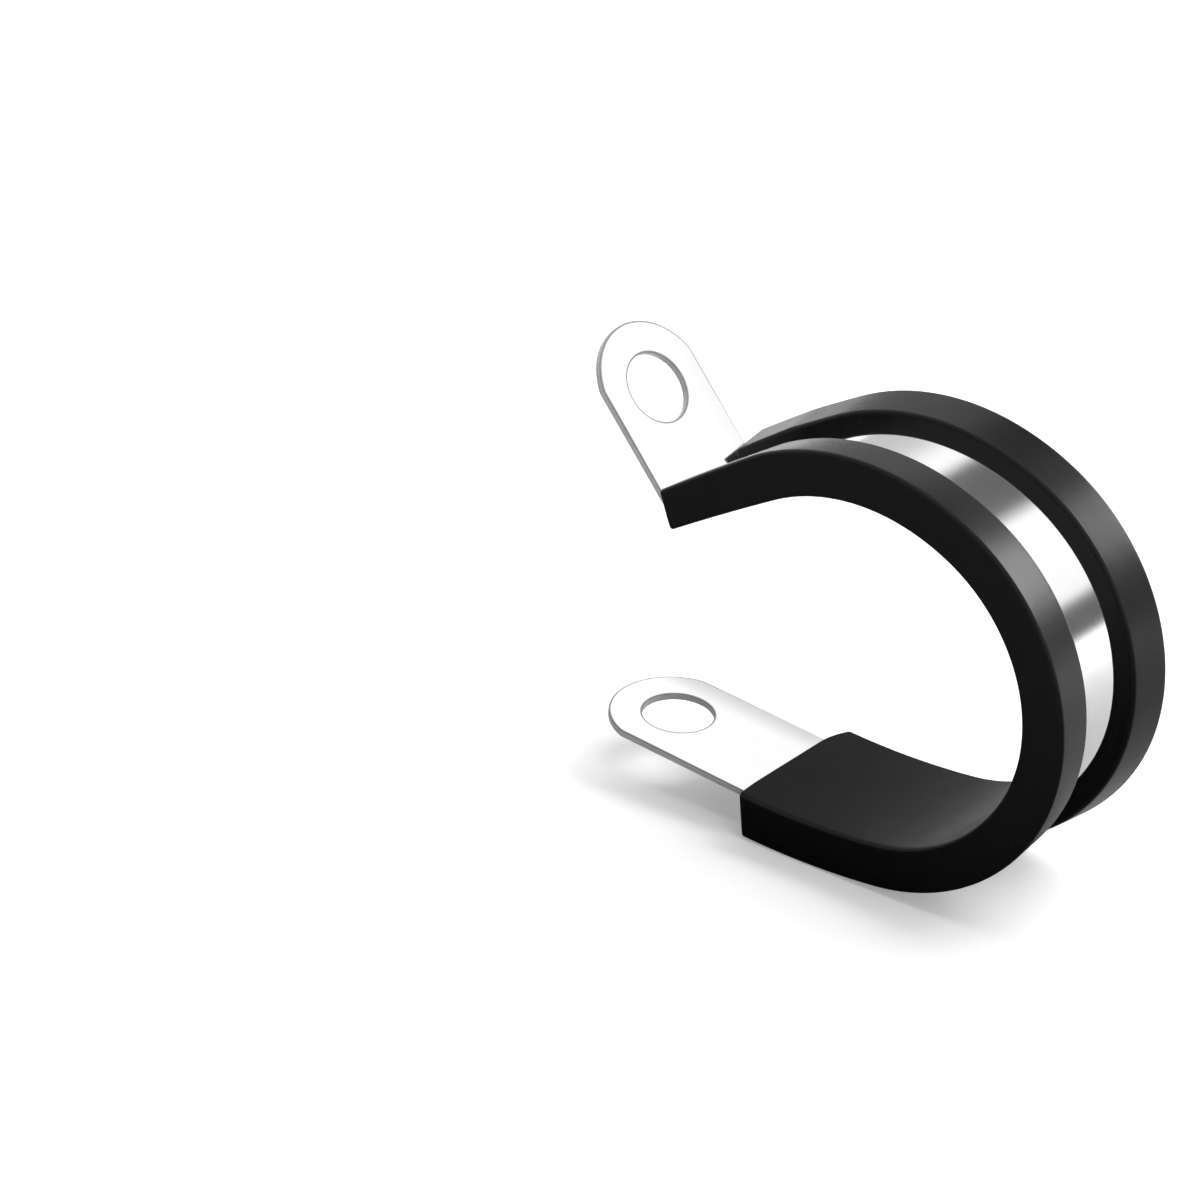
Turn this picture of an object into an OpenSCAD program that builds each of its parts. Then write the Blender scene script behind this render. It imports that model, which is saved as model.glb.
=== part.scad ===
// Rubber-cushioned P clip, standing open on its underside as it does before the bolt draws it shut.
// X runs from the tabs towards the closed side of the loop, Y along the hose, and Z up.
// The origin is where the axis of the lower bolt hole leaves the underside of the strip.

/* [Steel strip] */
// Width of the strip, and of both tabs
band_w = 15; // [11:0.5:20]
// Thickness of the sheet
band_t = 0.8; // [0.5:0.1:1.2]
// Diameter of the bolt hole in each tab
hole_d = 8.2; // [4.2:0.1:9]
// Centre of each bolt hole to the tip of its tab
hole_to_tip = 7.9; // [6.5:0.1:12]
// How far the radius of a tab's end exceeds half the width, which leaves a slight corner
tip_over = 0.3; // [0.1:0.1:2]
// Centre of the lower bolt hole to the start of the loop
lower_reach = 15.6; // [8:0.1:30]
// Centre of the upper bolt hole to the outward bend
upper_reach = 11.3; // [6:0.1:30]
// Inside radius of the outward bend
bend_r = 1.4; // [0.5:0.1:3]
// Angle through which the upper tab is bent away from the loop
bend_turn = 81; // [50:1:90]

/* [Loop, radii at the inner face of the cushion] */
// Dip of the lower tab towards the loop when the open clip stands by itself
stand_dip = 5; // [0:0.5:8]
// Radius of the almost flat underside
under_r = 95; // [60:1:150]
// Turn of the underside, in degrees
under_turn = 11.2; // [6:0.1:14]
// Radius where the underside rises into the closed side
heel_r = 21.7; // [16:0.1:30]
// Turn of that rise, in degrees
heel_turn = 55; // [40:0.5:65]
// Radius of the closed side
side_r = 18.9; // [14:0.1:26]
// Turn of the closed side, in degrees
side_turn = 90; // [75:0.5:100]
// Radius over the top
crown_r = 24.2; // [18:0.1:32]
// Turn over the top, in degrees
crown_turn = 57.5; // [45:0.5:66]
// Radius of the almost straight upper end
upper_r = 400; // [200:10:500]
// Turn of the upper end, in degrees
upper_turn = 2.2; // [0.8:0.1:3]

/* [Rubber cushion] */
// Thickness of the liner between the hose and the strip
liner_t = 1; // [0.8:0.1:2.5]
// Thickness of the side walls beside the strip
wall_t = 2.1; // [1.5:0.1:4]
// How far each lip covers the outer face of the strip
lip_cover = 3.25; // [1.5:0.05:5]
// Thickness of the lips at the side walls
lip_root_t = 3.4; // [2.6:0.05:5]
// Thickness of the lips at their free edges
lip_edge_t = 2.85; // [1.6:0.05:5]
// Rounding of the outer corners
outer_r = 1; // [0.2:0.1:1.4]
// Rounding of the corners that face the hose
inner_r = 0.4; // [0.1:0.1:0.5]
// Rounding of the lips' free edges
lip_r = 0.4; // [0.1:0.1:0.6]
// Bare strip between each end of the loop and the cushion
end_bare = 0.3; // [0.1:0.1:2]
// Angle by which each end leans back, because the outer side is drawn round the longer way
end_lean = 9; // [0:1:14]
// Clearance between the strip and its channel, on every face
channel_gap = 0.1; // [0.05:0.05:0.3]

/* [Hidden] */
$fn = 96;

corner_steps = 5;
sheet_spare = 2;
arc_lap = 0.000001;

// Depths are measured outward from the inner face of the cushion
band_in = liner_t + channel_gap;
band_mid = band_in + band_t / 2;
band_out = band_in + band_t;
channel_out = band_out + channel_gap;
channel_w = band_w + 2 * channel_gap;
cushion_w = channel_w + 2 * wall_t;
cushion_out = channel_out + lip_root_t;
lips_apart = band_w - 2 * lip_cover;

// Arcs of the loop from the lower tab to the upper one, as [radius, turn]
ARCS = [
    [under_r, under_turn],
    [heel_r, heel_turn],
    [side_r, side_turn],
    [crown_r, crown_turn],
    [upper_r, upper_turn]
];
LAST = len(ARCS) - 1;

function radius(k) = ARCS[k][0];
function turn(k) = ARCS[k][1];
function ahead(angle) = [cos(angle), sin(angle)];
function inward(angle) = [-sin(angle), cos(angle)];

// Direction of the strip where arc k begins, in degrees above +X. Arc LAST + 1 would begin at the end
function heading(k) = k == 0 ? -stand_dip : heading(k - 1) + turn(k - 1);

// Where arc k begins and where it is centred, as [x, z], on the inner face of the cushion
function begin(k) =
    k == 0 ? lower_reach * ahead(heading(0)) + band_out * inward(heading(0))
    : centre(k - 1) - radius(k - 1) * inward(heading(k));
function centre(k) = begin(k) + radius(k) * inward(heading(k));

// Heading of the upper tab, and the centre of the bend that leads to it
tab_heading = heading(LAST + 1) - bend_turn;
bend_centre = begin(LAST + 1) - (band_out + bend_r) * inward(heading(LAST + 1));

// Points of an outline whose corners [x, y, rounding] are replaced by arcs
function unit(v) = v / norm(v);
function arc_corner(before, at, after, r) =
    let (
        u = unit(before - at),
        v = unit(after - at),
        half = acos(u * v) / 2,
        middle = at + unit(u + v) * r / sin(half),
        first = at + u * r / tan(half) - middle,
        last = at + v * r / tan(half) - middle,
        sweep = 180 - 2 * half
    )
    [for (i = [0 : corner_steps])
        let (part = i / corner_steps)
        middle + (sin(sweep * (1 - part)) * first + sin(sweep * part) * last) / sin(sweep)];
function rounded(corners) =
    let (count = len(corners), point = [for (c = corners) [c[0], c[1]]])
    [for (i = [0 : count - 1])
        each (corners[i][2] == 0 ? [point[i]]
            : arc_corner(point[(i + count - 1) % count], point[i], point[(i + 1) % count], corners[i][2]))];

// Moves its children to [x, z] in three ever smaller steps, so that neighbouring pieces meet to the
// last digit that is written out
module shift(place) {
    whole = [for (v = place) round(v)];
    milli = [for (v = place - whole) round(v * 1000) / 1000];
    rest = place - whole - milli;
    translate([whole[0], 0, whole[1]])
        translate([milli[0], 0, milli[1]])
            translate([rest[0], 0, rest[1]])
                children();
}

// Turns a flat section, x being the radius and y across the strip, about a centre in the XZ plane.
// It laps over its neighbours by a hair, so that they always join
module turn_section(middle, from, angle) {
    shift(middle)
        rotate([90, 0, 0])
            rotate_extrude(angle = angle + 2 * arc_lap, start = from - arc_lap)
                children();
}

// Sweeps a flat section, x being depth outward and y across the strip, along the whole loop
module sweep_loop() {
    for (k = [0 : LAST])
        turn_section(centre(k), 270 + heading(k), turn(k))
            translate([radius(k), 0])
                children();
}

// Section of the strip, too wide by sheet_spare on each side until trim_strip cuts it to width
module strip_section(depth) {
    translate([depth, -band_w / 2 - sheet_spare])
        square([band_t, band_w + 2 * sheet_spare]);
}

// Closed channel: liner, side walls, and lips that taper to their free edges
module cushion_section() {
    half = [
        [0, cushion_w / 2, inner_r],
        [cushion_out, cushion_w / 2, outer_r],
        [channel_out + lip_edge_t, lips_apart / 2, lip_r],
        [channel_out, lips_apart / 2, 0],
        [channel_out, channel_w / 2, 0],
        [liner_t, channel_w / 2, 0]
    ];
    other = [for (i = [len(half) - 1 : -1 : 0]) [half[i][0], -half[i][1], half[i][2]]];
    polygon(rounded(concat(half, other)));
}

// Everything beyond the leaning end face of the cushion, on the -X side of the end of the loop
module beyond_end() {
    translate([end_bare, 0, 0])
        rotate([0, -end_lean, 0])
            translate([-cushion_out, -cushion_w, -2 * cushion_out])
                cube([cushion_out, 2 * cushion_w, 3 * cushion_out]);
}

// Flat tab that runs along X from its root, with the middle of the sheet at z = 0
module tab(reach) {
    tip_r = band_w / 2 + tip_over;
    tip_centre = reach + hole_to_tip - tip_r;
    difference() {
        translate([0, 0, -band_t / 2])
            union() {
                translate([0, -band_w / 2 - sheet_spare, 0])
                    cube([tip_centre, band_w + 2 * sheet_spare, band_t]);
                translate([tip_centre, 0, 0])
                    cylinder(r = tip_r, h = band_t);
            }
        translate([reach, 0, -band_t])
            cylinder(d = hole_d, h = 2 * band_t);
    }
}

// Cuts both edges of the whole strip in one go, so that they run flush from tip to tip
module trim_strip() {
    far = 2 * (heel_r + crown_r) + lower_reach + upper_reach;
    intersection() {
        children();
        translate([-far, -band_w / 2, -far])
            cube([2 * far, band_w, 2 * far]);
    }
}

module steel_band() {
    color("gainsboro")
    trim_strip()
        union() {
            shift(begin(0) - band_mid * inward(heading(0)))
                rotate([0, -heading(0), 0])
                    mirror([1, 0, 0])
                        tab(lower_reach);
            sweep_loop()
                strip_section(band_in);
            turn_section(bend_centre, 90 + tab_heading, bend_turn)
                strip_section(bend_r);
            shift(bend_centre + (bend_r + band_t / 2) * inward(tab_heading))
                rotate([0, -tab_heading, 0])
                    tab(upper_reach);
        }
}

module rubber_cushion() {
    color([0.09, 0.09, 0.09])
    difference() {
        sweep_loop()
            cushion_section();
        shift(begin(0))
            rotate([0, -heading(0), 0])
                beyond_end();
        shift(begin(LAST + 1))
            rotate([0, -heading(LAST + 1), 0])
                mirror([1, 0, 0])
                    beyond_end();
    }
}

steel_band();
rubber_cushion();
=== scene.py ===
# A rubber-lined P clip, standing open on its cushion with its two tabs to the left.
# The sections follow the clip as it is put together: where it is seen from, the table and the
# lamps, the bent steel strip, and the extruded rubber cushion that grips it.

import math

import bmesh
import bpy
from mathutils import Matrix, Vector


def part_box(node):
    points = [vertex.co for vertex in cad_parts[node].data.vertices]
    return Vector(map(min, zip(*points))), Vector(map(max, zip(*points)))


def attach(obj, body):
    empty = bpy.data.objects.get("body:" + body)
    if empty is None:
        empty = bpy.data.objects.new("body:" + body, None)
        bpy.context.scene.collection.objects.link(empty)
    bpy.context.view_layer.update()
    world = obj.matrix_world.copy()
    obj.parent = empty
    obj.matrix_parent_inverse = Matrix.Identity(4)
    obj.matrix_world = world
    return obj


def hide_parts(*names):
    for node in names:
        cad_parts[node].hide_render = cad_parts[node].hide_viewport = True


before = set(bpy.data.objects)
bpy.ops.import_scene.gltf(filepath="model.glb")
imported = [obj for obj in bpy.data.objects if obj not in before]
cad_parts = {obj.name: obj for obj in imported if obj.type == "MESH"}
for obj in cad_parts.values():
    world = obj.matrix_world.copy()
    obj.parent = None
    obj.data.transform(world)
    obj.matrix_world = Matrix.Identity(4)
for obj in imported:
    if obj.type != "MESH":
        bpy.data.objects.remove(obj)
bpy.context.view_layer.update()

# ---------------------------------------------------------------------------------------------
# Camera
# A long lens on a level tripod. It looks down a little, past the tab end of the clip and
# across its near side.

MM = 0.001
aim = Vector((-6.23, -6.24, 15.61)) * MM
round_angle, down_angle, away = math.radians(39.234), math.radians(27.613), 615.51 * MM
towards_camera = Vector((
    math.sin(round_angle) * math.cos(down_angle),
    -math.cos(round_angle) * math.cos(down_angle),
    math.sin(down_angle),
))

lens = bpy.data.cameras.new("camera")
lens.lens, lens.sensor_width = 165.742, 36
lens.clip_start, lens.clip_end = 0.01, 50
camera = bpy.data.objects.new("camera", lens)
camera.location = aim + away * towards_camera
camera.rotation_euler = towards_camera.to_track_quat("Z", "Y").to_euler()
bpy.context.scene.collection.objects.link(camera)
bpy.context.scene.camera = camera
bpy.context.scene.view_settings.view_transform = "Standard"

# ---------------------------------------------------------------------------------------------
# Table, room and lamps
# A white table in a white studio, lit softly from above and behind. Polished steel and black
# rubber show what stands round them, so for them the room has darker places, and the table has
# painted shade in front of the clip. The camera sees only white, and the clip's own shadow.

# The rubber made below has crisper corners than the solid, which reach a hair lower.
table_drop = 0.07 * MM
table_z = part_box("rubber_cushion")[0].z - table_drop
bpy.ops.mesh.primitive_plane_add(size=4, location=(0, 0, table_z))
table = bpy.context.object
table.name = "table"


def node(tree, kind, inputs=None, **settings):
    """Adds a node with its settings. Inputs are {name or number: a value or an output to link}."""
    made = tree.nodes.new(kind)
    for key, value in settings.items():
        setattr(made, key, value)
    for key, value in (inputs or {}).items():
        if isinstance(value, bpy.types.NodeSocket):
            tree.links.new(value, made.inputs[key])
        else:
            made.inputs[key].default_value = value
    return made


def reckon(tree, operation, *values, **settings):
    """The result of one step of arithmetic."""
    step = node(tree, "ShaderNodeMath", dict(enumerate(values)), operation=operation, **settings)
    return step.outputs[0]


def graded(tree, value, start, end, at_start, at_end, manner="LINEAR"):
    """Goes from at_start to at_end while value goes from start to end."""
    return node(tree, "ShaderNodeMapRange", {
        "Value": value, "From Min": start, "From Max": end, "To Min": at_start, "To Max": at_end,
    }, interpolation_type=manner).outputs[0]


def mixed(tree, share, first, second):
    """The first colour, going over to the second as share goes from 0 to 1."""
    return node(tree, "ShaderNodeMix", {0: share, 6: first, 7: second}, data_type="RGBA").outputs[2]


def blank_material(name):
    material = bpy.data.materials.new(name)
    material.use_nodes = True
    material.node_tree.nodes.clear()
    return material, material.node_tree


def table_paper():
    """White paper for the camera, and for all that mirrors the table, painted shade in front of the clip."""
    paper, tree = blank_material("white_table_paper")
    seen = node(tree, "ShaderNodeLightPath").outputs
    spot = node(tree, "ShaderNodeTexCoord").outputs["Object"]
    grain = node(tree, "ShaderNodeTexNoise", {"Vector": spot, "Scale": 90.0}).outputs["Fac"]
    matt = node(tree, "ShaderNodeBsdfDiffuse", {"Color": graded(tree, grain, 0, 1, 0.80, 0.82)})
    lift = node(tree, "ShaderNodeEmission", {"Strength": 0.29})
    lifted = node(tree, "ShaderNodeAddShader", {0: matt.outputs[0], 1: lift.outputs[0]})

    # Painted shade: for mirrors the table is dark in front of the clip, darkest just before it, and white
    # behind it.
    depth = node(tree, "ShaderNodeSeparateXYZ", {0: spot}).outputs["Y"]
    mirrored_shade = node(tree, "ShaderNodeValToRGB", {"Fac": graded(tree, depth, -0.10, 0.14, 0, 1)})
    front_to_back = [(0.0, 0.20), (0.2, 0.12), (0.36, 0.012), (0.42, 0.08), (0.5, 0.38), (1.0, 1.0)]
    stops = mirrored_shade.color_ramp.elements
    for place, _ in front_to_back[1:-1]:
        stops.new(place)
    for stop, (_, shade) in zip(stops, front_to_back):
        stop.color = (shade, shade, shade, 1)
    shaded_or_white = mixed(tree, seen["Is Diffuse Ray"], mirrored_shade.outputs[0], (0.8, 0.8, 0.8, 1))
    mirrored = node(tree, "ShaderNodeBsdfDiffuse", {"Color": shaded_or_white})

    shown = node(tree, "ShaderNodeMixShader", {
        0: seen["Is Camera Ray"], 1: mirrored.outputs[0], 2: lifted.outputs[0]})
    node(tree, "ShaderNodeOutputMaterial", {"Surface": shown.outputs[0]})
    return paper


table.data.materials.append(table_paper())


def white_studio():
    """Walls that are bright behind the clip and dark behind the camera, which sees them white."""
    room = bpy.data.worlds.new("studio")
    room.use_nodes = True
    tree = room.node_tree
    tree.nodes.clear()
    seen = node(tree, "ShaderNodeLightPath").outputs
    look = node(tree, "ShaderNodeTexCoord").outputs["Generated"]
    apart = node(tree, "ShaderNodeSeparateXYZ", {0: look}).outputs

    def dim_patch(towards, inner, outer, dimmed):
        """A round patch, with its inner and outer edge in degrees, that dims the room softly."""
        aligned = node(tree, "ShaderNodeVectorMath", {
            0: look, 1: Vector(towards).normalized()}, operation="DOT_PRODUCT").outputs["Value"]
        edge, core = math.cos(math.radians(outer)), math.cos(math.radians(inner))
        return graded(tree, aligned, edge, core, 1.0, dimmed, "SMOOTHSTEP")

    # Mirrors see the camera's side of the room brighter than matt surfaces do.
    camera_side = graded(tree, seen["Is Glossy Ray"], 0, 1, 0.10, 0.62)
    level = graded(tree, apart["Y"], -0.35, 0.45, camera_side, 1.15, "SMOOTHSTEP")
    ceiling_gap = dim_patch((-0.143, 0.735, 0.663), 9, 16.5, 0.12)
    wall_gap = dim_patch((0.666, 0.740, 0.100), 4.5, 11, 0.10)
    room_corner = dim_patch((-0.64, 0.76, 0.09), 10, 27, 0.6)
    low_walls = graded(tree, apart["Z"], -0.1, 0.5, 0.82, 1.0)
    for dimming in (ceiling_gap, wall_gap, room_corner, low_walls):
        level = reckon(tree, "MULTIPLY", level, dimming)

    strength = node(tree, "ShaderNodeMix", {0: seen["Is Camera Ray"], 2: level, 3: 1.0}, data_type="FLOAT")
    sky = node(tree, "ShaderNodeBackground", {"Color": (1, 1, 1, 1), "Strength": strength.outputs[0]})
    node(tree, "ShaderNodeOutputWorld", {"Surface": sky.outputs[0]})
    return room


bpy.context.scene.world = white_studio()


def soft_lamp(name, place, size, power):
    """A round lamp that points at the middle of the loop."""
    middle = Vector((22, 0, 20)) * MM
    lamp = bpy.data.lights.new(name, "AREA")
    lamp.shape, lamp.size, lamp.energy = "DISK", size, power
    holder = bpy.data.objects.new(name, lamp)
    holder.location = place
    holder.rotation_euler = (Vector(place) - middle).to_track_quat("Z", "Y").to_euler()
    bpy.context.scene.collection.objects.link(holder)
    return holder


def shine_only_on(lamp, name):
    """Lets a lamp light just the objects put in the collection that this returns."""
    lit = bpy.data.collections.new(name)
    lamp.light_linking.receiver_collection = lit
    lamp.visible_camera = False
    return lit


top_lamp = soft_lamp("top_lamp", (0.25, 0.25, 0.75), 0.95, 4.8)
side_lamp = soft_lamp("side_lamp", (0.55, -0.2, 0.35), 0.35, 0.6)
for lamp in (top_lamp, side_lamp):
    lamp.visible_glossy = False

# A window high behind the clip gives the rubber its soft glints. Polished strip would only burn
# out in it, so it lights the rubber alone, and a wide lamp beside it lights the table.
window_side = (0.669, 1.113, 0.75)
under_window = shine_only_on(soft_lamp("window_lamp", window_side, 0.79, 15.0), "lit_by_the_window")
under_table_lamp = shine_only_on(soft_lamp("table_lamp", window_side, 2.6, 7.0), "lit_by_the_table_lamp")
under_table_lamp.objects.link(table)

# ---------------------------------------------------------------------------------------------
# Steel strip
# One strip of polished stainless sheet. It is blanked out flat with its two round tips and bolt
# holes, deburred, and then bent round the loop and sharply outward to the upper tab.

# The flat blank lies along X in millimetres, from the start of the loop, with the middle of the
# sheet at Z = 0. Depths are counted outwards from the face of the cushion that grips the hose.
strip_width, sheet, hole_radius = 15.0, 0.8, 4.1
lower_reach, upper_reach, beyond_hole, tip_radius = 15.6, 11.3, 7.9, 7.8
sheet_level = 1.5
sheet_outside = sheet_level + sheet / 2
# The loop's arcs from the lower tab to the upper one, with their radii at that face and their turns
# in degrees. The outward bend has its radius in the middle of the sheet, and its sign turns it back.
loop_arcs = [("Underside", 95.0, 11.2), ("Heel", 21.7, 55.0), ("Closed side", 18.9, 90.0),
             ("Crown", 24.2, 57.5), ("Upper end", 400.0, 2.2)]
outward_bend, no_bend = (-1.8, 81.0), (-1.0, 0.0)
# The lower tab dips towards the loop as the open clip stands. The cushion's face starts above its root.
dip = math.radians(5.0)
cushion_start = (lower_reach * math.cos(dip) + sheet_outside * math.sin(dip),
                 sheet_outside * math.cos(dip) - lower_reach * math.sin(dip))


def add_sockets(tree, direction, kind, names):
    for name in names:
        tree.interface.new_socket(name, in_out=direction, socket_type="NodeSocket" + kind)


def arc_group():
    """One arc of the loop: turns the heading and moves the place for a distance along the strip."""
    tree = bpy.data.node_groups.new("one_arc", "GeometryNodeTree")
    add_sockets(tree, "INPUT", "Float", ["Distance", "Heading", "X", "Z", "Radius", "Turn"])
    add_sockets(tree, "OUTPUT", "Float", ["Distance", "Heading", "X", "Z"])
    given = node(tree, "NodeGroupInput").outputs
    size = reckon(tree, "ABSOLUTE", given["Radius"])
    turned = reckon(tree, "MAXIMUM", reckon(tree, "DIVIDE", given["Distance"], size), 0.0)
    turned = reckon(tree, "MINIMUM", turned, given["Turn"])
    heading = reckon(tree, "MULTIPLY_ADD", turned, reckon(tree, "SIGN", given["Radius"]), given["Heading"])
    before = reckon(tree, "MINIMUM", given["Distance"], 0.0)
    length = reckon(tree, "MULTIPLY", size, given["Turn"])
    beyond = reckon(tree, "MAXIMUM", reckon(tree, "SUBTRACT", given["Distance"], length), 0.0)
    sines = [reckon(tree, "SINE", angle) for angle in (heading, given["Heading"])]
    cosines = [reckon(tree, "COSINE", angle) for angle in (given["Heading"], heading)]
    node(tree, "NodeGroupOutput", {
        "Distance": reckon(tree, "ADD", before, beyond), "Heading": heading,
        "X": reckon(tree, "MULTIPLY_ADD", reckon(tree, "SUBTRACT", *sines), given["Radius"], given["X"]),
        "Z": reckon(tree, "MULTIPLY_ADD", reckon(tree, "SUBTRACT", *cosines), given["Radius"], given["Z"])})
    return tree


def bending_tree():
    """Bends a flat blank: X runs along the loop, Y stays, and Z is towards the hose."""
    one_arc = arc_group()
    arcs = [name for name, _, _ in loop_arcs] + ["Outward bend"]
    tree = bpy.data.node_groups.new("bend_round_the_loop", "GeometryNodeTree")
    add_sockets(tree, "INPUT", "Geometry", ["Blank"])
    add_sockets(tree, "INPUT", "Material", ["Finish"])
    add_sockets(tree, "INPUT", "Float", ["Dip", "Start X", "Start Z", "Level"])
    add_sockets(tree, "INPUT", "Float", [arc + size for arc in arcs for size in (" radius", " turn")])
    add_sockets(tree, "OUTPUT", "Geometry", ["Bent"])
    given = node(tree, "NodeGroupInput").outputs
    flat = node(tree, "ShaderNodeSeparateXYZ", {
        0: node(tree, "GeometryNodeInputPosition").outputs[0]}).outputs

    heading = reckon(tree, "MULTIPLY", given["Dip"], -1.0)
    sine, cosine = reckon(tree, "SINE", heading), reckon(tree, "COSINE", heading)
    start_z = reckon(tree, "SUBTRACT", given["Start Z"], reckon(tree, "MULTIPLY", cosine, given["Level"]))
    state = {"Distance": flat["X"], "Heading": heading, "Z": start_z,
             "X": reckon(tree, "MULTIPLY_ADD", sine, given["Level"], given["Start X"])}
    for arc in arcs:
        radius = given[arc + " radius"]
        if arc != "Outward bend":
            radius = reckon(tree, "ADD", radius, given["Level"])
        bend = node(tree, "GeometryNodeGroup", {
            **state, "Radius": radius, "Turn": given[arc + " turn"]}, node_tree=one_arc)
        state = {key: bend.outputs[key] for key in state}

    sine, cosine = reckon(tree, "SINE", state["Heading"]), reckon(tree, "COSINE", state["Heading"])
    x = reckon(tree, "MULTIPLY_ADD", state["Distance"], cosine, state["X"])
    z = reckon(tree, "MULTIPLY_ADD", state["Distance"], sine, state["Z"])
    place = node(tree, "ShaderNodeCombineXYZ", {
        "X": reckon(tree, "SUBTRACT", x, reckon(tree, "MULTIPLY", flat["Z"], sine)), "Y": flat["Y"],
        "Z": reckon(tree, "MULTIPLY_ADD", flat["Z"], cosine, z)})
    placed = node(tree, "GeometryNodeSetPosition", {"Geometry": given["Blank"], "Position": place.outputs[0]})
    real = node(tree, "GeometryNodeRealizeInstances", {0: placed.outputs[0]})
    dressed = node(tree, "GeometryNodeSetMaterial", {
        "Geometry": real.outputs[0], "Material": given["Finish"]})
    node(tree, "NodeGroupOutput", {"Bent": dressed.outputs[0]})
    return tree


bending = bending_tree()


def bend_blank(blank, name, material, level, last_bend):
    """Bends a flat blank whose Z = 0 lies at a depth of level, and returns the piece as a plain mesh."""
    flat = bpy.data.objects.new(name + "_blank", blank)
    bpy.context.scene.collection.objects.link(flat)
    modifier = flat.modifiers.new("bend", "NODES")
    modifier.node_group = bending
    sizes = {"Finish": material, "Dip": dip, "Level": level * MM,
             "Start X": cushion_start[0] * MM, "Start Z": cushion_start[1] * MM}
    for arc, radius, turn in loop_arcs + [("Outward bend", *last_bend)]:
        sizes[arc + " radius"] = radius * MM
        sizes[arc + " turn"] = math.radians(turn)
    for item in bending.interface.items_tree:
        if item.in_out == "INPUT" and item.name in sizes:
            modifier[item.identifier] = sizes[item.name]
    bpy.context.view_layer.update()
    ready = flat.evaluated_get(bpy.context.evaluated_depsgraph_get())
    piece = bpy.data.objects.new(name, bpy.data.meshes.new_from_object(ready))
    piece.data.name = name
    bpy.context.scene.collection.objects.link(piece)
    bpy.data.objects.remove(flat)
    bpy.data.meshes.remove(blank)
    return piece


def finished_blank(mesh, name):
    """Turns a flat blank in millimetres into a smooth mesh in metres."""
    bmesh.ops.scale(mesh, verts=mesh.verts, vec=(MM, MM, MM))
    for face in mesh.faces:
        face.smooth = True
    blank = bpy.data.meshes.new(name)
    mesh.to_mesh(blank)
    mesh.free()
    return blank


def shade_evenly(piece):
    even_shading = piece.modifiers.new("even_shading", "WEIGHTED_NORMAL")
    even_shading.keep_sharp = False


# Millimetres to one unit of the map of flat coordinates that every blank carries
map_unit = 100.0
# Facets across the strip, along the loop, round the outward bend, along a tab and round its tip
across, loop_rows, bend_rows, tab_steps, tip_steps = 12, 290, 27, 20, 40
# Width of the painted shade line along a tab's outline and round its hole, and where the
# facets between the two are divided, as a share of the way from the hole
edge_shade_width, divided_at = 0.21, 0.25


def add_tab(mesh, edge_shade_mask, root, side, reach):
    """Fills a tab between its hole and its outline; side is -1 at the lower end and 1 at the upper."""
    half = strip_width / 2
    start = root[0].co.x
    hole = Vector((start + side * reach, 0, 0))
    tip_centre = start + side * (reach + beyond_hole - tip_radius)
    widest = math.asin(half / tip_radius)
    straight = abs(tip_centre - start) + tip_radius * math.cos(widest)
    along = [start + side * straight * i / tab_steps for i in range(1, tab_steps)]
    angles = [widest * (1 - 2 * i / tip_steps) for i in range(tip_steps + 1)]
    tip = [(tip_centre + side * tip_radius * math.cos(a), tip_radius * math.sin(a)) for a in angles]
    edge = [(x, half) for x in along] + tip + [(x, -half) for x in reversed(along)]
    outline = list(root) + [mesh.verts.new((x, y, 0)) for x, y in edge]

    rings = []
    for share, beyond in ((0, 0), (0, edge_shade_width), (divided_at, 0), (1, -edge_shade_width)):
        ring = []
        for vertex in outline:
            from_hole = vertex.co - hole
            radius = hole_radius + (from_hole.length - hole_radius) * share + beyond
            ring.append(mesh.verts.new(hole + from_hole.normalized() * radius))
        rings.append(ring)
    rings.append(outline)
    for inside, outside in zip(rings, rings[1:]):
        for i in range(len(outline)):
            j = (i + 1) % len(outline)
            corners = (inside[i], outside[i], outside[j], inside[j])
            face = mesh.faces.new(corners if side > 0 else corners[::-1])
            at_root = i < across
            # Painted shade: a dark line on the ring next to the hole and along the outline, but not at the
            # root.
            face[edge_shade_mask] = float(inside is rings[0] or (outside is outline and not at_root))


def mark_strip(mesh, cut_mask, edge_shade_mask):
    """Marks all that doesn't lie flat as cut edge, and its deburred bevel for painted edge shade."""
    lies_flat, stands_up = 0.97, 0.05
    mesh.normal_update()
    flat_map = mesh.loops.layers.uv.new("flat")
    for face in mesh.faces:
        upward = abs(face.normal.z)
        face[cut_mask] = float(upward < lies_flat)
        if upward < lies_flat:
            face[edge_shade_mask] = float(upward > stands_up)
        for loop in face.loops:
            x, y, z = loop.vert.co
            loop[flat_map].uv = (x / map_unit, (y + z) / map_unit)


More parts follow.
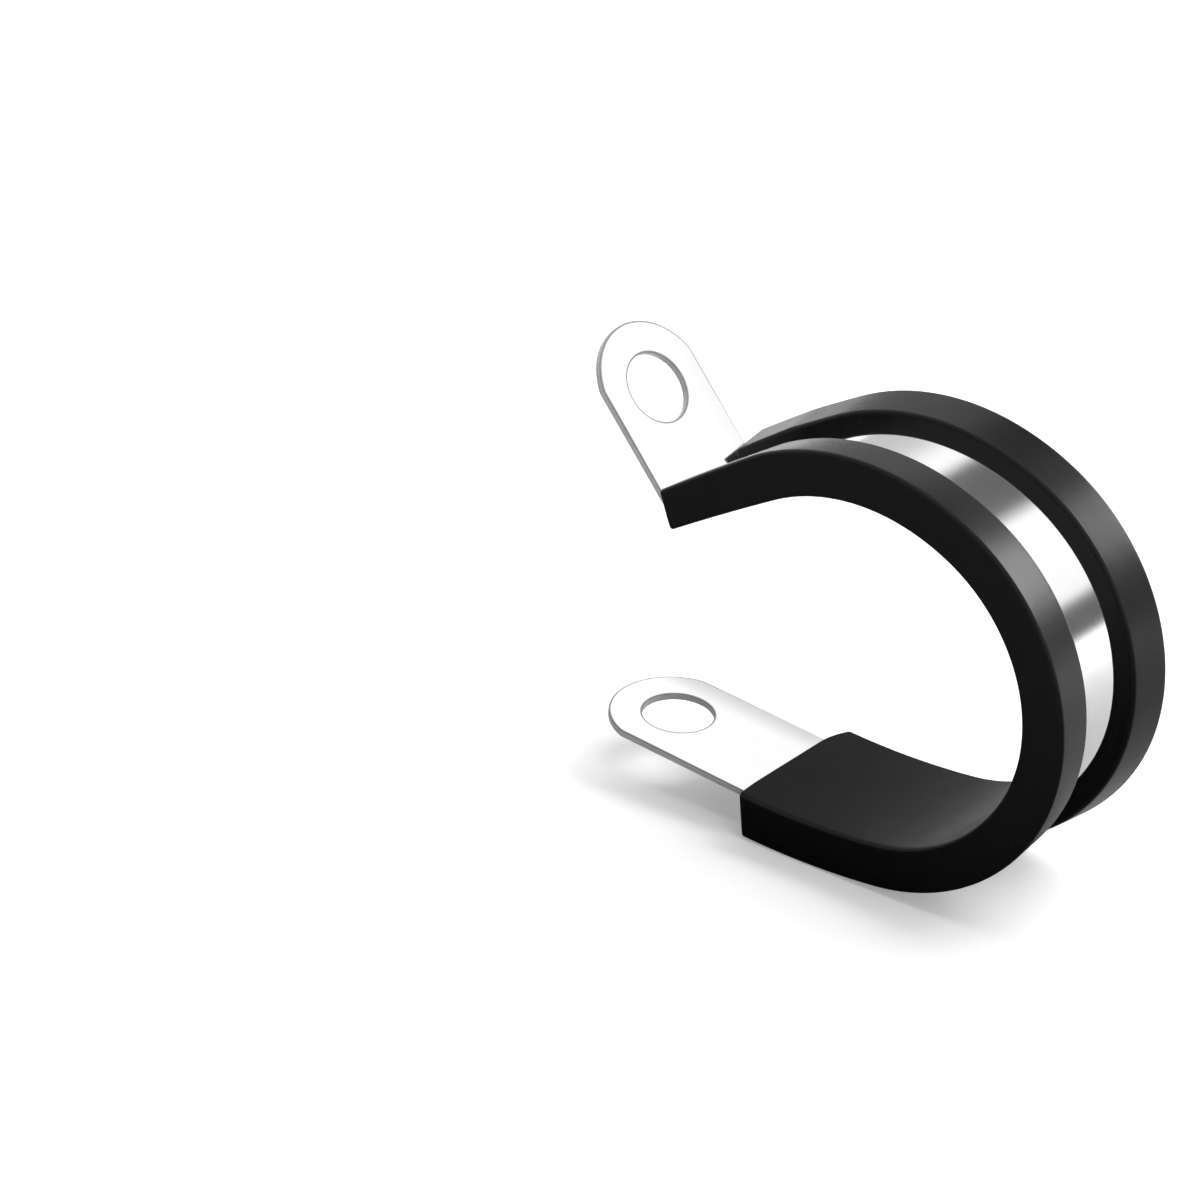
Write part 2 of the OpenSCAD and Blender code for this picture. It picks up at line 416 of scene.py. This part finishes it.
def strip_blank():
    """The flat deburred blank, with a mask for its cut edges and one for the painted edge shade beside them.
    """
    deburr, sharp_angle = 0.13, math.radians(60)
    loop_length = sum((radius + sheet_level) * math.radians(turn) for _, radius, turn in loop_arcs)
    bend_length = -outward_bend[0] * math.radians(outward_bend[1])
    stations = [loop_length * i / loop_rows for i in range(loop_rows)]
    stations += [loop_length + bend_length * i / bend_rows for i in range(bend_rows + 1)]
    mesh = bmesh.new()
    cut_mask, edge_shade_mask = mesh.faces.layers.float.new("cut"), mesh.faces.layers.float.new("edge_shade")
    rows = [[mesh.verts.new((x, strip_width * (i / across - 0.5), 0)) for i in range(across + 1)]
            for x in stations]
    for row, following in zip(rows, rows[1:]):
        for i in range(across):
            mesh.faces.new((row[i], following[i], following[i + 1], row[i + 1]))
    add_tab(mesh, edge_shade_mask, rows[0], -1, lower_reach)
    add_tab(mesh, edge_shade_mask, rows[-1], 1, upper_reach)

    bmesh.ops.recalc_face_normals(mesh, faces=mesh.faces)
    top = bmesh.ops.extrude_face_region(mesh, geom=list(mesh.faces))["geom"]
    raised = [item for item in top if isinstance(item, bmesh.types.BMVert)]
    bmesh.ops.translate(mesh, verts=raised, vec=(0, 0, sheet))
    bmesh.ops.translate(mesh, verts=mesh.verts, vec=(0, 0, -sheet / 2))
    bmesh.ops.recalc_face_normals(mesh, faces=mesh.faces)
    sharp = [edge for edge in mesh.edges if edge.is_manifold and edge.calc_face_angle() > sharp_angle]
    bmesh.ops.bevel(mesh, geom=sharp, offset=deburr, offset_type="OFFSET", segments=3, profile=0.5,
                    affect="EDGES", clamp_overlap=True)
    mark_strip(mesh, cut_mask, edge_shade_mask)
    return finished_blank(mesh, "strip_blank")


def grain_group():
    """Fine grain for any finish: a height, and a cloud that varies slowly over the surface."""
    tree = bpy.data.node_groups.new("surface_grain", "ShaderNodeTree")
    add_sockets(tree, "INPUT", "Vector", ["Vector", "Stretch"])
    add_sockets(tree, "INPUT", "Float", ["Grain scale", "Cloud scale"])
    add_sockets(tree, "OUTPUT", "Float", ["Height", "Cloud"])
    given = node(tree, "NodeGroupInput").outputs
    drawn = node(tree, "ShaderNodeVectorMath", {
        0: given["Vector"], 1: given["Stretch"]}, operation="MULTIPLY")
    fine = node(tree, "ShaderNodeTexNoise", {
        "Vector": drawn.outputs[0], "Scale": given["Grain scale"], "Detail": 3.0, "Roughness": 0.6})
    slow = node(tree, "ShaderNodeTexNoise", {
        "Vector": given["Vector"], "Scale": given["Cloud scale"], "Detail": 4.0})
    node(tree, "NodeGroupOutput", {"Height": fine.outputs["Fac"], "Cloud": slow.outputs["Fac"]})
    return tree


surface_grain = grain_group()


def polished_steel():
    """Bright stainless drawn finely along the strip, matt where sheared; painted shade on outlines and far
    margin.
    """
    steel, tree = blank_material("polished_stainless_steel")
    flat_place = node(tree, "ShaderNodeUVMap", uv_map="flat").outputs[0]
    drawn = node(tree, "ShaderNodeGroup", {
        "Vector": flat_place, "Grain scale": 110.0, "Stretch": (1.0, 26.0, 1.0), "Cloud scale": 45.0,
    }, node_tree=surface_grain).outputs
    place = node(tree, "ShaderNodeSeparateXYZ", {0: flat_place}).outputs
    cut_edge = node(tree, "ShaderNodeAttribute", attribute_name="cut").outputs["Fac"]
    edge_shade = node(tree, "ShaderNodeAttribute", attribute_name="edge_shade").outputs["Fac"]

    # Painted shade darkens the margin on the far side, most of all on the lower tab.
    bright = mixed(tree, drawn["Cloud"], (0.86, 0.865, 0.87, 1), (0.92, 0.92, 0.92, 1))
    far_shade_strength = graded(tree, place["X"], -2.0 / map_unit, 5.0 / map_unit, 0.62, 0.15)
    far_edge_shade = graded(tree, place["Y"], 4.0 / map_unit, 7.8 / map_unit, 0.0, far_shade_strength, "SMOOTHSTEP")
    far_edge_shaded = mixed(tree, far_edge_shade, bright, (0.45, 0.45, 0.46, 1))
    sheared = mixed(tree, cut_edge, far_edge_shaded, (0.70, 0.70, 0.71, 1))
    # Painted shade: a dark grey, non-metallic line along the outlines, hole edges and bevels.
    edge_shaded = mixed(tree, edge_shade, sheared, (0.28, 0.28, 0.285, 1))

    gloss = graded(tree, drawn["Height"], 0.3, 0.7, 0.12, 0.17)
    roughness = reckon(tree, "MULTIPLY_ADD", cut_edge, 0.30, gloss)
    metallic = reckon(tree, "MULTIPLY_ADD", cut_edge, -0.7, 1.0)
    bare_metal = reckon(tree, "SUBTRACT", metallic, edge_shade, use_clamp=True)
    relief = node(tree, "ShaderNodeBump", {
        "Strength": 0.04, "Distance": 0.02 * MM, "Height": drawn["Height"]})
    metal = node(tree, "ShaderNodeBsdfPrincipled", {
        "Base Color": edge_shaded, "Metallic": bare_metal, "Roughness": roughness, "Normal": relief.outputs[0]})
    node(tree, "ShaderNodeOutputMaterial", {"Surface": metal.outputs[0]})
    return steel


strip = bend_blank(strip_blank(), "bent_steel_strip", polished_steel(), sheet_level, outward_bend)
shade_evenly(strip)
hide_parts("steel_band")
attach(strip, "root")

# ---------------------------------------------------------------------------------------------
# Rubber cushion
# One length of extruded black rubber channel, cut off straight and drawn round the strip, with two
# lips that clip over the strip's edges. Its outer side is drawn round the longer way, so that the
# cut ends lean back.

# Depths of the liner, the channel, the lips' edges and the walls
liner, channel_top, lip_out, wall_out = 1.0, 2.0, 4.85, 5.4
# How far the lips' edges, the channel and the walls reach out from the middle
lip_side, channel_side, wall_side = 4.25, 7.6, 9.7
# Roundings of the corners at the hose and outside, on and under the lips' edges, and in the channel
hose_round, outer_round, lip_round, under_lip_round, channel_round = 0.5, 0.45, 0.5, 0.32, 0.15
# Bare strip left at each end of the loop, and the lean and the rounded edge of a cut end
end_bare, end_lean, end_round = 0.3, math.radians(9.0), 0.28
# Length over which drawing the rubber round bends each end
drawn_length = 9.0
# Lower end: how far its far and its near corners are drawn in, and from where across
far_corner_in, near_corner_in, corners_from = 1.2, 0.25, 5.5
# Upper end: how far it is stretched at the near wall, and how much more for each millimetre across
stretch, askew = 0.85, 0.035
# How far its lips sink towards the strip: at mid-width, how much less for each millimetre across,
# over what depth outwards from the sheet, and along what length of the near and of the far lip
lip_sink, less_across, sink_depth = 0.6, 0.02, 3.0
near_sunk_length, far_sunk_length = 15.0, 8.0
# Facets round a corner of the section, round the edge of a cut end and along the whole length
corner_steps, end_steps, length_rows = 8, 5, 210


def corner_arc(before, at, after, radius):
    """The points of one rounded corner."""
    back, ahead = (before - at).normalized(), (after - at).normalized()
    half = back.angle(ahead) / 2
    centre = at + (back + ahead).normalized() * radius / math.sin(half)
    first = at + back * radius / math.tan(half) - centre
    last = at + ahead * radius / math.tan(half) - centre
    sweep = math.pi - 2 * half
    shares = [k / corner_steps for k in range(corner_steps + 1)]
    return [centre + (first * math.sin(sweep * (1 - share)) + last * math.sin(sweep * share))
            / math.sin(sweep) for share in shares]


def rounded_line(corners, facets):
    """An open line through corners (across, depth, rounding), with so many facets on each straight."""
    places = [Vector(corner[:2]) for corner in corners]
    bends = [corner_arc(places[i - 1], places[i], places[i + 1], corners[i][2])
             for i in range(1, len(corners) - 1)]
    line = [places[0]]
    for bend, count in zip(bends + [places[-1:]], facets):
        start = line[-1]
        line += [start.lerp(bend[0], k / count) for k in range(1, count)]
        line += bend
    return line


def channel_section():
    """The outline as points (across, depth), and how many of them its outer line has."""
    lip_middle = (lip_side, (lip_out + channel_top) / 2)
    outer_half = [lip_middle, (lip_side, lip_out, lip_round), (wall_side, wall_out, outer_round),
                  (wall_side, 0, hose_round)]
    inner_half = [lip_middle, (lip_side, channel_top, under_lip_round),
                  (channel_side, channel_top, channel_round), (channel_side, liner, channel_round)]
    facets = (1, 4, 4, 16, 4, 4, 1)
    outer, inner = [rounded_line(half + [(-side, *rest) for side, *rest in reversed(half)], facets)
                    for half in (outer_half, inner_half)]
    return outer + inner[-2:0:-1], len(outer)


def drawn_end(y, depth, from_end, upper):
    """How far a point near a cut end has moved in along the loop, and how far up towards the hose."""
    fade = max(0.0, 1 - from_end / drawn_length) ** 2
    lean = depth * math.tan(end_lean)
    if upper:
        in_the_lips = min(1.0, max(0.0, depth - sheet_level) / sink_depth)
        sunk_length = near_sunk_length if y < 0 else far_sunk_length
        sunk = (lip_sink - less_across * y) * in_the_lips * max(0.0, 1 - from_end / sunk_length)
        return (lean - stretch - askew * (y + wall_side)) * fade, sunk
    corner_in = far_corner_in if y > 0 else near_corner_in
    past = max(0.0, (abs(y) - corners_from) / (wall_side - corners_from))
    return (lean + corner_in * past ** 2) * fade, 0.0


def ring_places(length):
    """The section's places along the channel, each with how far it shrinks to round the cut edges."""
    turns = [math.radians(90 * k / end_steps) for k in range(end_steps + 1)]
    end_rings = [(end_round * (1 - math.cos(a)), end_round * (1 - math.sin(a))) for a in turns]
    body = length - 2 * end_round
    rings = end_rings + [(end_round + body * i / length_rows, 0) for i in range(1, length_rows)]
    return rings + [(length - x, shrunk) for x, shrunk in reversed(end_rings)]


def map_channel(mesh, rows, section):
    """Adds the map of flat coordinates, which runs along the channel and round its outline."""
    count = len(section)
    girth = [0.0]
    for i in range(count):
        girth.append(girth[-1] + (section[(i + 1) % count] - section[i]).length)
    column = {vertex: i for row in rows for i, vertex in enumerate(row)}
    flat_map = mesh.loops.layers.uv.new("flat")
    for face in mesh.faces:
        columns = [column[loop.vert] for loop in face.loops]
        closes = max(columns) - min(columns) > count / 2
        for loop, i in zip(face.loops, columns):
            at_girth = girth[count] if closes and i == 0 else girth[i]
            loop[flat_map].uv = (loop.vert.co.x / map_unit, at_girth / map_unit)


def cushion_blank():
    """The straight cut length, liner up, with masks for its liner side and its lips."""
    section, outer_count = channel_section()
    count = len(section)
    chords = [section[(i + 1) % count] - section[i - 1] for i in range(count)]
    inwards = [Vector((chord.y, -chord.x)).normalized() for chord in chords]
    length = sum(radius * math.radians(turn) for _, radius, turn in loop_arcs) - 2 * end_bare

    # Depths of the section are told apart by a hair, which is less than any step in it.
    hair = 0.05
    mesh = bmesh.new()
    liner_mask, lip_mask = mesh.verts.layers.float.new("liner"), mesh.faces.layers.int.new("lip")
    rows = []
    for x, shrunk in ring_places(length):
        upper = x > length / 2
        row = []
        for point, inward in zip(section, inwards):
            y, depth = point + inward * shrunk
            moved_in, sunk = drawn_end(y, depth, min(x, length - x), upper)
            along = end_bare + (x - moved_in if upper else x + moved_in)
            vertex = mesh.verts.new((along, y, sunk - depth))
            vertex[liner_mask] = float(point.y < hair)
            row.append(vertex)
        rows.append(row)
    for row, following in zip(rows, rows[1:]):
        for i in range(count):
            j = (i + 1) % count
            face = mesh.faces.new((row[i], following[i], following[j], row[j]))
            face[lip_mask] = int(min(section[i].y, section[j].y) > channel_top - hair)
    # Each cut end is closed between its outer and its inner line, which meet at the lips' edges.
    for row in (rows[0], rows[-1]):
        outer_side = row[:outer_count]
        inner_side = row[:1] + row[:outer_count - 2:-1]
        for corners in zip(outer_side, outer_side[1:], inner_side[1:], inner_side):
            mesh.faces.new(list(dict.fromkeys(corners)))
    bmesh.ops.recalc_face_normals(mesh, faces=mesh.faces)
    map_channel(mesh, rows, section)
    return finished_blank(mesh, "cushion_blank")


def black_rubber(name, clear_to_mirrors=False):
    """Matt black rubber. Lips that are clear to mirrors let the steel between them stay bright."""
    rubber, tree = blank_material(name)
    flat_place = node(tree, "ShaderNodeUVMap", uv_map="flat").outputs[0]
    body_place = node(tree, "ShaderNodeTexCoord").outputs["Object"]
    pores = node(tree, "ShaderNodeGroup", {
        "Vector": body_place, "Grain scale": 5200.0, "Stretch": (1, 1, 1), "Cloud scale": 120.0,
    }, node_tree=surface_grain).outputs
    drag = node(tree, "ShaderNodeGroup", {
        "Vector": flat_place, "Grain scale": 60.0, "Stretch": (0.6, 14.0, 1.0), "Cloud scale": 25.0,
    }, node_tree=surface_grain).outputs
    tint = mixed(tree, pores["Cloud"], (0.0045, 0.0045, 0.0046, 1), (0.0065, 0.0065, 0.0066, 1))

    # The liner is rougher than the outside, most of all near the lower tab.
    polish = graded(tree, drag["Cloud"], 0.3, 0.7, 0.235, 0.285)
    liner_side = node(tree, "ShaderNodeAttribute", attribute_name="liner").outputs["Fac"]
    along = node(tree, "ShaderNodeSeparateXYZ", {0: flat_place}).outputs["X"]
    unrubbed = graded(tree, along, 4.0 / map_unit, 28.0 / map_unit, 0.66, 0.12, "SMOOTHSTEP")
    roughness = reckon(tree, "MULTIPLY_ADD", liner_side, unrubbed, polish)
    height = reckon(tree, "MULTIPLY_ADD", drag["Height"], 0.5, pores["Height"])
    relief = node(tree, "ShaderNodeBump", {"Strength": 0.25, "Distance": 0.04 * MM, "Height": height})
    surface = node(tree, "ShaderNodeBsdfPrincipled", {
        "Base Color": tint, "Roughness": roughness, "Specular IOR Level": 0.22,
        "Normal": relief.outputs[0]}).outputs[0]
    if clear_to_mirrors:
        surface = node(tree, "ShaderNodeMixShader", {
            0: node(tree, "ShaderNodeLightPath").outputs["Is Glossy Ray"], 1: surface,
            2: node(tree, "ShaderNodeBsdfTransparent").outputs[0]}).outputs[0]
    node(tree, "ShaderNodeOutputMaterial", {"Surface": surface})
    return rubber


cushion = bend_blank(cushion_blank(), "rubber_channel_cushion", black_rubber("black_rubber"), 0.0, no_bend)
cushion.data.materials.append(black_rubber("black_lip_rubber", clear_to_mirrors=True))
lip = cushion.data.attributes["lip"]
for face in cushion.data.polygons:
    face.material_index = lip.data[face.index].value
cushion.data.attributes.remove(lip)
shade_evenly(cushion)
under_window.objects.link(cushion)
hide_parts("rubber_cushion")
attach(cushion, "root")
